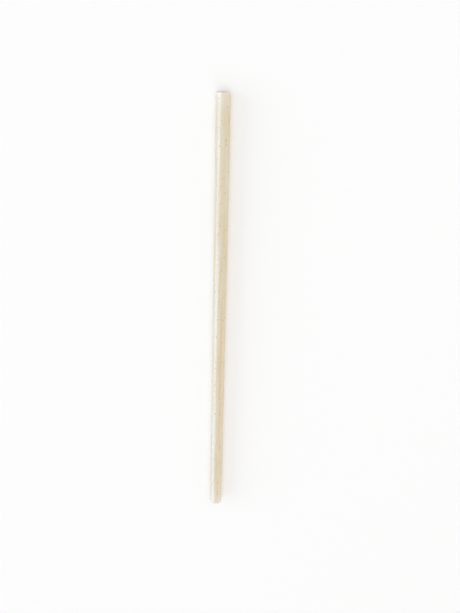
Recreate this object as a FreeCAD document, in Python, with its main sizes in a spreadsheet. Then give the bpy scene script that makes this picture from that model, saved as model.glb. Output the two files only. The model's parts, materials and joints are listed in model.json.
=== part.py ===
import FreeCAD, Part
import math
import os
import Sketcher

# Drinking straw: one straight tube of plant-fibre plastic, extruded, open from end to end and cut square.
# It lies on the floor with its length along Y. The origin is on the floor, under the tube's middle.
# An extruded tube is never quite round. It comes to rest on its flatter side, the strip at the bottom.

doc = FreeCAD.newDocument("DrinkingStraw")

# Driving sizes, in millimetres

DRIVING_SIZES = (
    ("outer_diameter", 6.0),
    ("wall_thickness", 0.4),
    ("tube_length", 210.0),
    ("cut_edge_radius", 0.06),
    ("flatter_side_width", 1.3),
)

sizes = doc.addObject("Spreadsheet::Sheet", "Sizes")
for row, (name, value) in enumerate(DRIVING_SIZES, start=1):
    sizes.set(f"A{row}", name)
    sizes.set(f"B{row}", str(value))
    sizes.setAlias(f"B{row}", name)
doc.recompute()


def origin_plane(body, role):
    """The body's own origin plane with that role."""
    return next(feature for feature in body.Origin.OriginFeatures if feature.Role == role)


def bind(sketch, constraint, name, expression):
    """Names a size constraint and binds it to the sheet."""
    sketch.renameConstraint(constraint, name)
    sketch.setExpression(f"Constraints.{name}", expression)


def draw_bore(sketch):
    """The round inside of the wall, about the sketch's origin."""
    bore = sketch.addGeometry(Part.Circle(), False)
    sketch.addConstraint(Sketcher.Constraint("Coincident", bore, 3, -1, 1))
    size = sketch.addConstraint(Sketcher.Constraint("Diameter", bore, sizes.outer_diameter))
    bind(sketch, size, "bore_diameter", "Sizes.outer_diameter - 2 * Sizes.wall_thickness")


def draw_outside(sketch):
    """The outside of the wall: an arc about the origin, closed at the bottom by the flatter side."""
    radius = sizes.outer_diameter / 2
    half_width = sizes.flatter_side_width / 2
    start = math.asin(half_width / radius) - math.pi / 2
    end = 3 * math.pi / 2 - math.asin(half_width / radius)
    circle = Part.Circle(FreeCAD.Vector(0, 0, 0), FreeCAD.Vector(0, 0, 1), radius)
    outside = Part.ArcOfCircle(circle, start, end)
    flatter_side = Part.LineSegment(outside.EndPoint, outside.StartPoint)
    arc = sketch.addGeometry(outside, False)
    flat = sketch.addGeometry(flatter_side, False)
    sketch.addConstraint(Sketcher.Constraint("Coincident", arc, 3, -1, 1))
    sketch.addConstraint(Sketcher.Constraint("Coincident", arc, 2, flat, 1))
    sketch.addConstraint(Sketcher.Constraint("Coincident", flat, 2, arc, 1))
    sketch.addConstraint(Sketcher.Constraint("Horizontal", flat))
    size = sketch.addConstraint(Sketcher.Constraint("Diameter", arc, sizes.outer_diameter))
    bind(sketch, size, "outer_diameter", "Sizes.outer_diameter")
    width = sketch.addConstraint(Sketcher.Constraint("DistanceX", flat, 1, flat, 2, 2 * half_width))
    bind(sketch, width, "flatter_side_width", "Sizes.flatter_side_width")


# Straw tube: an even wall round an open bore, with both ends cut square and their edges barely rounded

def make_straw_tube():
    body = doc.addObject("PartDesign::Body", "StrawTube")
    body.Label = "straw_tube"

    section = body.newObject("Sketcher::SketchObject", "WallSection")
    section.AttachmentSupport = (origin_plane(body, "XZ_Plane"), "")
    section.MapMode = "FlatFace"
    draw_outside(section)
    draw_bore(section)

    tube = body.newObject("PartDesign::Pad", "ExtrudedLength")
    tube.Profile = section
    tube.SideType = "Symmetric"
    tube.setExpression("Length", "Sizes.tube_length")
    doc.recompute()

    rims = [
        f"Edge{number}"
        for number, edge in enumerate(tube.Shape.Edges, start=1)
        if edge.BoundBox.YLength < sizes.cut_edge_radius
    ]
    rounded_rims = body.newObject("PartDesign::Fillet", "RoundedRims")
    rounded_rims.Base = (tube, rims)
    rounded_rims.setExpression("Radius", "Sizes.cut_edge_radius")

    axis_height = "sqrt((Sizes.outer_diameter / 2) ^ 2 - (Sizes.flatter_side_width / 2) ^ 2)"
    body.setExpression("Placement.Base.z", axis_height)
    return body


subparts = [make_straw_tube()]
doc.recompute()

# Check every object of the document before anything is written

for item in doc.Objects:
    if "Invalid" in item.State or "Error" in item.State:
        raise RuntimeError(f"{item.Label} failed to recompute: {item.State}")

for subpart in subparts:
    if subpart.Shape.isNull() or not subpart.Shape.isValid():
        raise RuntimeError(f"{subpart.Label} has no valid shape")
    if len(subpart.Shape.Solids) != 1:
        raise RuntimeError(f"{subpart.Label} has {len(subpart.Shape.Solids)} solids, not one")

os.makedirs("parts", exist_ok=True)
for subpart in subparts:
    subpart.Shape.exportStep(f"parts/{subpart.Label}.step")
    print(f"{subpart.Label}: {subpart.Shape.Volume:.1f} mm3, {subpart.Shape.BoundBox}")
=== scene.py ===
import json
import math
import random

import bpy
from mathutils import Matrix, Vector


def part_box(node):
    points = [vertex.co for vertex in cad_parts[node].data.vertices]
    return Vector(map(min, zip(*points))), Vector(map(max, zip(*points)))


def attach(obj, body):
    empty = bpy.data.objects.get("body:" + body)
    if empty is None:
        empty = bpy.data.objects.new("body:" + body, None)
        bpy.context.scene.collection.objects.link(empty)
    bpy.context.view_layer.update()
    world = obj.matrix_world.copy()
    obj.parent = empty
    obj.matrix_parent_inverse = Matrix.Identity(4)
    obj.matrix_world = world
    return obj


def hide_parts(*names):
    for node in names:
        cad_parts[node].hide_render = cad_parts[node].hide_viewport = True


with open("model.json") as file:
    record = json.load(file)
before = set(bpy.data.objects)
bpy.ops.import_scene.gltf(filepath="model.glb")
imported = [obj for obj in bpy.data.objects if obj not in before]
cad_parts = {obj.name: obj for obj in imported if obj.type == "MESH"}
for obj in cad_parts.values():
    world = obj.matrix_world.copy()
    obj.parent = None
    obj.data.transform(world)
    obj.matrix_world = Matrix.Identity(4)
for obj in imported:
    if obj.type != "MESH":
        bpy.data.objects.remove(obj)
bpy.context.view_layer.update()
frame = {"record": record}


# Straw tube: one extrusion of cream plastic, filled right through with ground plant fibre that shows as
# tan specks. The die leaves fine lines along its outside, and a turning knife cuts both ends square,
# with a slightly ragged edge. It is one piece with nothing fixed to it, and lies on its flatter side.

low_corner, high_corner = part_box("straw_tube")
bore_mount = next(mount for mount in frame["record"]["mounts"] if mount["name"] == "bore")

TUBE_RADIUS = (high_corner.x - low_corner.x) / 2
BORE_RADIUS = bore_mount["dims"]["r_mm"] / 1000
AXIS_HEIGHT = bore_mount["pos_m"][2]
HALF_LENGTH = (high_corner.y - low_corner.y) / 2
EDGE_ROUNDING = 0.00006

SEGMENTS_ROUND = 112
OUTSIDE_RINGS = 320
INSIDE_RINGS = 160
EDGE_STEPS = 3
CUT_FACE_STEPS = 4

WALL_UNEVENNESS = 0.000012       # the extruded wall swells and narrows by about this much
CUT_UNEVENNESS = 0.000022        # the knife's cut strays by about this much round the edge
CUT_STRAY_DEPTH = 0.0012         # how far in from the end the stray cut is evened out
LARGEST_DRIFT = 70               # how fast a wave may turn round the tube, in radians per metre

waves_random = random.Random(6)


def random_waves(counts):
    """Waves with a random phase and a random drift, one for each count of crests round the tube."""
    waves = []
    for count in counts:
        phase = waves_random.uniform(0, 2 * math.pi)
        drift = waves_random.uniform(-LARGEST_DRIFT, LARGEST_DRIFT)
        waves.append((count, phase, drift))
    return waves


WALL_WAVES = random_waves((2, 3, 5, 7))
CUT_WAVES = random_waves((1, 3, 8, 13, 21, 34))


def wave_sum(waves, angle, along):
    """Height of the waves at one place of the wall, in parts of the unevenness."""
    total = 0.0
    for count, phase, drift in waves:
        total += math.sin(count * angle + phase + drift * along) / math.sqrt(count)
    return total


def rounded_cut_edge():
    """One end of the wall, from outside to bore: (distance from the axis, distance in from the end)."""
    outer_corner = TUBE_RADIUS - EDGE_ROUNDING
    inner_corner = BORE_RADIUS + EDGE_ROUNDING
    quarter_turn = [math.pi / 2 * step / EDGE_STEPS for step in range(EDGE_STEPS + 1)]
    outer_edge = [
        (TUBE_RADIUS - EDGE_ROUNDING * (1 - math.cos(turn)), EDGE_ROUNDING * (1 - math.sin(turn)))
        for turn in quarter_turn
    ]
    cut_face = [
        (outer_corner + (inner_corner - outer_corner) * step / CUT_FACE_STEPS, 0.0)
        for step in range(1, CUT_FACE_STEPS)
    ]
    inner_edge = [
        (BORE_RADIUS + EDGE_ROUNDING * (1 - math.sin(turn)), EDGE_ROUNDING * (1 - math.cos(turn)))
        for turn in quarter_turn
    ]
    return outer_edge + cut_face + inner_edge


def wall_outline():
    """The wall cut lengthwise: (distance from the axis, place along the tube), once round the wall."""
    straight = HALF_LENGTH - EDGE_ROUNDING
    edge = rounded_cut_edge()
    outline = [(TUBE_RADIUS, straight * (2 * ring / OUTSIDE_RINGS - 1)) for ring in range(1, OUTSIDE_RINGS)]
    outline += [(radius, HALF_LENGTH - inward) for radius, inward in edge]
    outline += [(BORE_RADIUS, straight * (1 - 2 * ring / INSIDE_RINGS)) for ring in range(1, INSIDE_RINGS)]
    outline += [(radius, inward - HALF_LENGTH) for radius, inward in reversed(edge)]
    return outline


def wall_point(radius, along, angle):
    """One vertex of the wall, with the small unevenness of the extrusion and of the cut."""
    end = math.copysign(1.0, along)
    near_end = max(0.0, 1 - (HALF_LENGTH - abs(along)) / CUT_STRAY_DEPTH)
    radius += WALL_UNEVENNESS * wave_sum(WALL_WAVES, angle, along)
    cut_height = wave_sum(CUT_WAVES, angle * end, HALF_LENGTH * end) - 1
    along += end * near_end * CUT_UNEVENNESS * cut_height
    height = AXIS_HEIGHT + radius * math.sin(angle)
    return (radius * math.cos(angle), along, max(height, 0.0))


BANDS_SIDE_BY_SIDE = 5
BAND_ROWS = 2
BAND_MARGIN = 0.02


def unroll_wall(mesh, outline):
    """UV map of the wall unrolled to a strip, which is cut into bands that lie side by side in two rows."""
    travelled = [0.0]
    for ring, (radius, along) in enumerate(outline):
        next_radius, next_along = outline[(ring + 1) % len(outline)]
        travelled.append(travelled[-1] + math.hypot(next_radius - radius, next_along - along))
    band_length = travelled[-1] / (BANDS_SIDE_BY_SIDE * BAND_ROWS)
    fill = 1 - 2 * BAND_MARGIN
    unrolled = mesh.uv_layers.new(name="OFBake").data
    loop = 0
    for ring in range(len(outline)):
        band = int((travelled[ring] + travelled[ring + 1]) / 2 / band_length)
        column = band % BANDS_SIDE_BY_SIDE
        row = band // BANDS_SIDE_BY_SIDE
        for segment in range(SEGMENTS_ROUND):
            corners = ((ring, segment), (ring + 1, segment), (ring + 1, segment + 1), (ring, segment + 1))
            for corner_ring, corner_segment in corners:
                across = corner_segment / SEGMENTS_ROUND * fill + BAND_MARGIN
                up = (travelled[corner_ring] / band_length - band) * fill + BAND_MARGIN
                unrolled[loop].uv = ((column + across) / BANDS_SIDE_BY_SIDE, (row + up) / BAND_ROWS)
                loop += 1


def make_straw_mesh():
    outline = wall_outline()
    rings = len(outline)
    points = [
        wall_point(radius, along, 2 * math.pi * segment / SEGMENTS_ROUND)
        for radius, along in outline
        for segment in range(SEGMENTS_ROUND)
    ]
    faces = []
    for ring in range(rings):
        this_row = ring * SEGMENTS_ROUND
        next_row = (ring + 1) % rings * SEGMENTS_ROUND
        for segment in range(SEGMENTS_ROUND):
            beside = (segment + 1) % SEGMENTS_ROUND
            faces.append((this_row + segment, next_row + segment, next_row + beside, this_row + beside))
    mesh = bpy.data.meshes.new("straw")
    mesh.from_pydata(points, [], faces)
    mesh.shade_smooth()
    unroll_wall(mesh, outline)
    return mesh


def add_node(tree, kind, **settings):
    """A node with its settings, as in its panel."""
    node = tree.nodes.new(kind)
    for name, value in settings.items():
        setattr(node, name, value)
    return node


def plug(tree, target, source):
    """Links an output to an input, or sets the input to a plain value."""
    if isinstance(source, bpy.types.NodeSocket):
        tree.links.new(source, target)
    else:
        target.default_value = source


def maths(tree, operation, *values):
    """A Math node's result."""
    node = add_node(tree, "ShaderNodeMath", operation=operation)
    for socket, value in zip(node.inputs, values):
        plug(tree, socket, value)
    return node.outputs["Value"]


def soft_step(tree, value, start, end):
    """0 before start, 1 after end, and a smooth rise between them. Start may be the larger."""
    node = add_node(tree, "ShaderNodeMapRange", interpolation_type="SMOOTHSTEP")
    plug(tree, node.inputs["Value"], value)
    plug(tree, node.inputs["From Min"], start)
    plug(tree, node.inputs["From Max"], end)
    return node.outputs["Result"]


def mixed(tree, share, first, second):
    """A mix of two colours."""
    node = add_node(tree, "ShaderNodeMix", data_type="RGBA")
    plug(tree, node.inputs["Factor"], share)
    plug(tree, node.inputs["A"], first)
    plug(tree, node.inputs["B"], second)
    return node.outputs["Result"]


def tinted(tree, colour, tint, mask, strength):
    """A colour with a tint over it where the mask is, at most as strong as given."""
    return mixed(tree, maths(tree, "MULTIPLY", mask, strength), colour, tint)


def stretched(tree, place, scale):
    """A place on the wall, scaled along each axis."""
    node = add_node(tree, "ShaderNodeVectorMath", operation="MULTIPLY")
    plug(tree, node.inputs[0], place)
    plug(tree, node.inputs[1], scale)
    return node.outputs["Vector"]


def noise(tree, place, scale, detail):
    """A 3D noise node."""
    node = add_node(tree, "ShaderNodeTexNoise", noise_dimensions="3D")
    plug(tree, node.inputs["Vector"], place)
    plug(tree, node.inputs["Scale"], scale)
    plug(tree, node.inputs["Detail"], detail)
    return node


def new_group(name, inputs, outputs):
    """An empty shader node group with its sockets: (group, group input node, group output node)."""
    group = bpy.data.node_groups.new(name, "ShaderNodeTree")
    for socket_name, kind in inputs:
        group.interface.new_socket(name=socket_name, in_out="INPUT", socket_type=kind)
    for socket_name, kind in outputs:
        group.interface.new_socket(name=socket_name, in_out="OUTPUT", socket_type=kind)
    return group, group.nodes.new("NodeGroupInput"), group.nodes.new("NodeGroupOutput")


NOISE_DETAIL = 3.0
RAGS_PER_GRAIN = 4.5             # how much finer a grain's ragged outline is than the grains' spacing
RAGGEDNESS = 0.36
SMALLEST_GRAIN = 0.45
GRAIN_SIZE_SPREAD = 0.9
GRAIN_CORE = 0.45                # the share of a grain that has its full colour
FAINTEST_GRAIN = 0.35


def make_speck_group():
    """Ground fibre in the wall: scattered grains of uneven size, each stronger or fainter than the next."""
    group, given, result = new_group(
        "Fibre specks",
        [
            ("Place", "NodeSocketVector"),
            ("Cells Per Metre", "NodeSocketFloat"),
            ("Grain Size", "NodeSocketFloat"),
            ("Share Shown", "NodeSocketFloat"),
        ],
        [("Mask", "NodeSocketFloat")],
    )
    place = given.outputs["Place"]
    cells = given.outputs["Cells Per Metre"]
    ragged = noise(group, place, maths(group, "MULTIPLY", cells, RAGS_PER_GRAIN), NOISE_DETAIL)

    grains = add_node(group, "ShaderNodeTexVoronoi", voronoi_dimensions="3D", feature="F1")
    plug(group, grains.inputs["Vector"], place)
    plug(group, grains.inputs["Scale"], cells)
    plug(group, grains.inputs["Randomness"], 1.0)
    random_of_grain = add_node(group, "ShaderNodeSeparateColor")
    plug(group, random_of_grain.inputs["Color"], grains.outputs["Color"])
    random_share, random_size, random_strength = random_of_grain.outputs

    ragged_edge = maths(group, "MULTIPLY_ADD", ragged.outputs["Fac"], RAGGEDNESS, -RAGGEDNESS / 2)
    distance = maths(group, "ADD", grains.outputs["Distance"], ragged_edge)
    size = maths(group, "MULTIPLY_ADD", random_size, GRAIN_SIZE_SPREAD, SMALLEST_GRAIN)
    reach = maths(group, "MULTIPLY", given.outputs["Grain Size"], size)
    inside_grain = soft_step(group, distance, reach, maths(group, "MULTIPLY", reach, GRAIN_CORE))
    shown = maths(group, "LESS_THAN", random_share, given.outputs["Share Shown"])
    strength = maths(group, "MULTIPLY_ADD", random_strength, 1 - FAINTEST_GRAIN, FAINTEST_GRAIN)
    shown_grain = maths(group, "MULTIPLY", inside_grain, shown)
    plug(group, result.inputs["Mask"], maths(group, "MULTIPLY", shown_grain, strength))
    return group


LINE_DETAIL = 2.5
LINE_UNEVENNESS = 0.6


def make_line_group():
    """Lines that the die draws along the wall: long and narrow, now stronger, now fainter."""
    group, given, result = new_group(
        "Die lines",
        [
            ("Place", "NodeSocketVector"),
            ("Lines Per Metre", "NodeSocketFloat"),
            ("Length In Widths", "NodeSocketFloat"),
        ],
        [("Height", "NodeSocketFloat")],
    )
    squeeze = add_node(group, "ShaderNodeCombineXYZ")
    plug(group, squeeze.inputs["X"], 1.0)
    plug(group, squeeze.inputs["Y"], maths(group, "DIVIDE", 1.0, given.outputs["Length In Widths"]))
    plug(group, squeeze.inputs["Z"], 1.0)
    place = stretched(group, given.outputs["Place"], squeeze.outputs["Vector"])
    lines = noise(group, place, given.outputs["Lines Per Metre"], LINE_DETAIL)
    plug(group, lines.inputs["Roughness"], LINE_UNEVENNESS)
    plug(group, result.inputs["Height"], lines.outputs["Fac"])
    return group


def place_group(tree, group, **values):
    """One use of a node group, with its inputs set or linked."""
    node = add_node(tree, "ShaderNodeGroup", node_tree=group)
    for name, value in values.items():
        plug(tree, node.inputs[name.replace("_", " ")], value)
    return node


CREAM = (0.78, 0.662, 0.478, 1)
PALE_CREAM = (0.80, 0.71, 0.56, 1)
DARK_CREAM = (0.76, 0.61, 0.40, 1)
TAN_SPECK = (0.69, 0.50, 0.21, 1)
BROWN_SPECK = (0.63, 0.39, 0.12, 1)
PAINTED_GLOW_END_CREAM = (0.82, 0.745, 0.64, 1)
CUT_BROWN = (0.60, 0.48, 0.32, 1)

CLOUDS_PER_METRE = 600.0
CLOUD_STRETCH = (1.0, 0.06, 1.0)
CLOUD_START = 0.42
CLOUD_FULL = 0.62
LINE_START = 0.45
LINE_FULL = 0.62
GRAIN_STRETCH = (1.0, 0.78, 1.0)
LINE_TINT = 0.9
TAN_TINT = 0.6
BROWN_TINT = 0.8
PAINTED_GLOW_END_LENGTH = 0.011          # painted light: near its ends the wall is painted paler, a painted glow of light coming through it
PAINTED_GLOW_END_TINT = 0.75
CUT_TINT_START = 0.00016
CUT_TINT_FULL = 0.00003
CUT_TINT = 0.35

SMOOTHEST = 0.27
LINES_IN_ROUGHNESS = 0.1
WIDE_LINES_IN_HEIGHT = 0.6
SPECKS_IN_HEIGHT = 0.35
RELIEF_STRENGTH = 0.35
RELIEF_DEPTH = 0.00003


def make_straw_material():
    material = bpy.data.materials.new("speckled_cream_plastic")
    material.use_nodes = True
    tree = material.node_tree
    shader = tree.nodes["Principled BSDF"]
    place = add_node(tree, "ShaderNodeTexCoord").outputs["Object"]
    specks = make_speck_group()
    die_lines = make_line_group()

    clouding = noise(tree, stretched(tree, place, CLOUD_STRETCH), CLOUDS_PER_METRE, NOISE_DETAIL)
    wide_lines = place_group(tree, die_lines, Place=place, Lines_Per_Metre=1000.0, Length_In_Widths=45.0)
    fine_lines = place_group(tree, die_lines, Place=place, Lines_Per_Metre=3600.0, Length_In_Widths=60.0)
    grain_place = stretched(tree, place, GRAIN_STRETCH)
    large_specks = place_group(
        tree, specks, Place=grain_place, Cells_Per_Metre=680.0, Grain_Size=0.27, Share_Shown=0.9
    )
    small_specks = place_group(
        tree, specks, Place=grain_place, Cells_Per_Metre=1050.0, Grain_Size=0.3, Share_Shown=0.75
    )

    middle_apart = add_node(tree, "ShaderNodeSeparateXYZ")
    plug(tree, middle_apart.inputs["Vector"], place)
    from_middle = maths(tree, "ABSOLUTE", middle_apart.outputs["Y"])
    at_cut = soft_step(tree, from_middle, HALF_LENGTH - CUT_TINT_START, HALF_LENGTH - CUT_TINT_FULL)
    # Painted light: a mask for the last centimetre at each end, where a glow of light through the wall is
    # painted in.
    near_end = soft_step(tree, from_middle, HALF_LENGTH - PAINTED_GLOW_END_LENGTH, HALF_LENGTH)
    in_cloud = soft_step(tree, clouding.outputs["Fac"], CLOUD_START, CLOUD_FULL)
    wide_height = wide_lines.outputs["Height"]
    in_line = soft_step(tree, wide_height, LINE_START, LINE_FULL)

    colour = mixed(tree, in_cloud, CREAM, PALE_CREAM)
    colour = tinted(tree, colour, DARK_CREAM, in_line, LINE_TINT)
    # Painted light: the ends are painted paler, as if lit through the wall from behind.
    colour = tinted(tree, colour, PAINTED_GLOW_END_CREAM, near_end, PAINTED_GLOW_END_TINT)
    colour = tinted(tree, colour, TAN_SPECK, small_specks.outputs["Mask"], TAN_TINT)
    colour = tinted(tree, colour, BROWN_SPECK, large_specks.outputs["Mask"], BROWN_TINT)
    colour = tinted(tree, colour, CUT_BROWN, at_cut, CUT_TINT)
    plug(tree, shader.inputs["Base Color"], colour)

    fine_height = fine_lines.outputs["Height"]
    line_height = maths(tree, "MULTIPLY_ADD", wide_height, WIDE_LINES_IN_HEIGHT, fine_height)
    roughness = maths(tree, "MULTIPLY_ADD", line_height, LINES_IN_ROUGHNESS, SMOOTHEST)
    plug(tree, shader.inputs["Roughness"], roughness)
    relief = add_node(tree, "ShaderNodeBump")
    height = maths(tree, "MULTIPLY_ADD", large_specks.outputs["Mask"], SPECKS_IN_HEIGHT, line_height)
    plug(tree, relief.inputs["Height"], height)
    plug(tree, relief.inputs["Strength"], RELIEF_STRENGTH)
    plug(tree, relief.inputs["Distance"], RELIEF_DEPTH)
    plug(tree, shader.inputs["Normal"], relief.outputs["Normal"])

    shader.inputs["Subsurface Weight"].default_value = 0.6
    shader.inputs["Subsurface Radius"].default_value = (1.0, 0.85, 0.6)
    shader.inputs["Subsurface Scale"].default_value = 0.001
    shader.inputs["Coat Weight"].default_value = 0.6
    shader.inputs["Coat Roughness"].default_value = 0.3
    shader.inputs["IOR"].default_value = 1.5
    return material


straw = bpy.data.objects.new("straw", make_straw_mesh())
bpy.context.scene.collection.objects.link(straw)
straw.data.materials.append(make_straw_material())
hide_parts("straw_tube")
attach(straw, "root")


# Floor: a plain white table top that the straw lies on. It takes the straw's soft shadow, and away from
# the straw it blends into the white of the room.

FLOOR_SIZE = 8.0
FLOOR_DEPTH_BELOW = 0.00002
FLOOR_WHITE = (0.88, 0.88, 0.88, 1)
FLOOR_ROUGHNESS = 0.9
FLOOR_OWN_LIGHT = 0.1
BLEND_START = 0.35
BLEND_END = 1.5
BLACK = (0, 0, 0, 1)
WHITE = (1, 1, 1, 1)


def seen_directly(tree):
    """1 for the camera's rays and for those that mirror or pass through something, and else 0."""
    rays = add_node(tree, "ShaderNodeLightPath")
    either = maths(tree, "MAXIMUM", rays.outputs["Is Camera Ray"], rays.outputs["Is Glossy Ray"])
    return maths(tree, "MAXIMUM", either, rays.outputs["Is Transmission Ray"])


def make_floor_material():
    material = bpy.data.materials.new("white_floor")
    material.use_nodes = True
    tree = material.node_tree
    shader = tree.nodes["Principled BSDF"]
    from_straw = add_node(tree, "ShaderNodeVectorMath", operation="LENGTH")
    plug(tree, from_straw.inputs[0], add_node(tree, "ShaderNodeTexCoord").outputs["Object"])
    far = soft_step(tree, from_straw.outputs["Value"], BLEND_START, BLEND_END)
    near = maths(tree, "SUBTRACT", 1.0, far)
    near_light = maths(tree, "MULTIPLY", seen_directly(tree), FLOOR_OWN_LIGHT)
    plug(tree, shader.inputs["Base Color"], mixed(tree, far, FLOOR_WHITE, BLACK))
    plug(tree, shader.inputs["Emission Strength"], maths(tree, "MULTIPLY_ADD", near_light, near, far))
    shader.inputs["Emission Color"].default_value = WHITE
    shader.inputs["Roughness"].default_value = FLOOR_ROUGHNESS
    shader.inputs["Specular IOR Level"].default_value = 0.0
    return material


def make_floor():
    half = FLOOR_SIZE / 2
    height = -FLOOR_DEPTH_BELOW
    corners = [(-half, -half, height), (half, -half, height), (half, half, height), (-half, half, height)]
    mesh = bpy.data.meshes.new("floor")
    mesh.from_pydata(corners, [], [(0, 1, 2, 3)])
    mesh.materials.append(make_floor_material())
    floor = bpy.data.objects.new("floor", mesh)
    bpy.context.scene.collection.objects.link(floor)
    return floor


make_floor()


# Light: an even pale room, a broad lamp above, a cool one far out on the left and a weak warm one opposite.
# A cool card and a weak warm one, low on either side, show only as the shine along the straw.

ROOM_LIGHT = 0.62


def make_room_light():
    world = bpy.data.worlds.new("pale_room")
    world.use_nodes = True
    tree = world.node_tree
    background = tree.nodes["Background"]
    background.inputs["Color"].default_value = WHITE
    strength = maths(tree, "MULTIPLY_ADD", seen_directly(tree), 1 - ROOM_LIGHT, ROOM_LIGHT)
    plug(tree, background.inputs["Strength"], strength)
    bpy.context.scene.world = world


def make_lamp(name, place, aim, width, height, power, colour):
    """A rectangular soft lamp that faces the point it is aimed at. The camera doesn't see it."""
    data = bpy.data.lights.new(name, "AREA")
    data.shape = "RECTANGLE"
    data.size = width
    data.size_y = height
    data.energy = power
    data.color = colour
    lamp = bpy.data.objects.new(name, data)
    lamp.location = place
    lamp.visible_camera = False
    lamp.rotation_euler = (Vector(aim) - Vector(place)).to_track_quat("-Z", "Y").to_euler()
    bpy.context.scene.collection.objects.link(lamp)
    return lamp


def make_shineless_lamp(**settings):
    """A lamp that lights surfaces and isn't mirrored in them."""
    make_lamp(**settings).visible_glossy = False


def make_shine_card(**settings):
    """A card that is mirrored in surfaces and doesn't light them."""
    make_lamp(**settings).visible_diffuse = False


make_room_light()
make_shineless_lamp(
    name="upper_lamp",
    place=(0.2, 0.2, 3.0),
    aim=(0, 0, 0),
    width=3.0,
    height=3.0,
    power=33.0,
    colour=(1.0, 0.975, 0.955),
)
make_shineless_lamp(
    name="left_lamp",
    place=(-3.2, 0, 1.2),
    aim=(0, 0, 0),
    width=4.0,
    height=2.0,
    power=42.0,
    colour=(0.82, 0.95, 1.0),
)
make_shineless_lamp(
    name="right_lamp",
    place=(3.2, 0, 1.2),
    aim=(0, 0, 0),
    width=4.0,
    height=2.0,
    power=7.0,
    colour=(1.0, 0.84, 0.66),
)
make_shine_card(
    name="left_card",
    place=(-0.6, -0.25, 0.31),
    aim=(0, -0.25, 0),
    width=1.1,
    height=0.66,
    power=9.2,
    colour=(0.26, 0.56, 1.0),
)
make_shine_card(
    name="right_card",
    place=(0.6, -0.25, 0.12),
    aim=(0, -0.25, 0),
    width=1.1,
    height=0.16,
    power=0.9,
    colour=(1.0, 0.78, 0.45),
)


# Camera: above the straw's upper end and looking down its length, with the straw a little left of centre.

CAMERA_BEYOND_END = 0.0199
CAMERA_ABOVE_AXIS = 0.2522
CAMERA_TO_THE_RIGHT = 0.0049
CAMERA_LEAN = -0.025
LOOK_BACK = 0.412
LENS = 34.95
NEAREST_SEEN = 0.01
FARTHEST_SEEN = 20.0


def make_camera():
    data = bpy.data.cameras.new("camera")
    data.lens = LENS
    data.clip_start = NEAREST_SEEN
    data.clip_end = FARTHEST_SEEN
    camera = bpy.data.objects.new("camera", data)
    along = HALF_LENGTH + CAMERA_BEYOND_END
    camera.location = (CAMERA_TO_THE_RIGHT, along, AXIS_HEIGHT + CAMERA_ABOVE_AXIS)
    forward = Vector((0, -LOOK_BACK, -math.sqrt(1 - LOOK_BACK ** 2)))
    right = forward.cross(Vector((CAMERA_LEAN, 1, 0))).normalized()
    up = right.cross(forward)
    camera.rotation_mode = "QUATERNION"
    camera.rotation_quaternion = Matrix((right, up, -forward)).transposed().to_quaternion()
    bpy.context.scene.collection.objects.link(camera)
    bpy.context.scene.camera = camera


make_camera()
bpy.context.scene.view_settings.view_transform = "Standard"
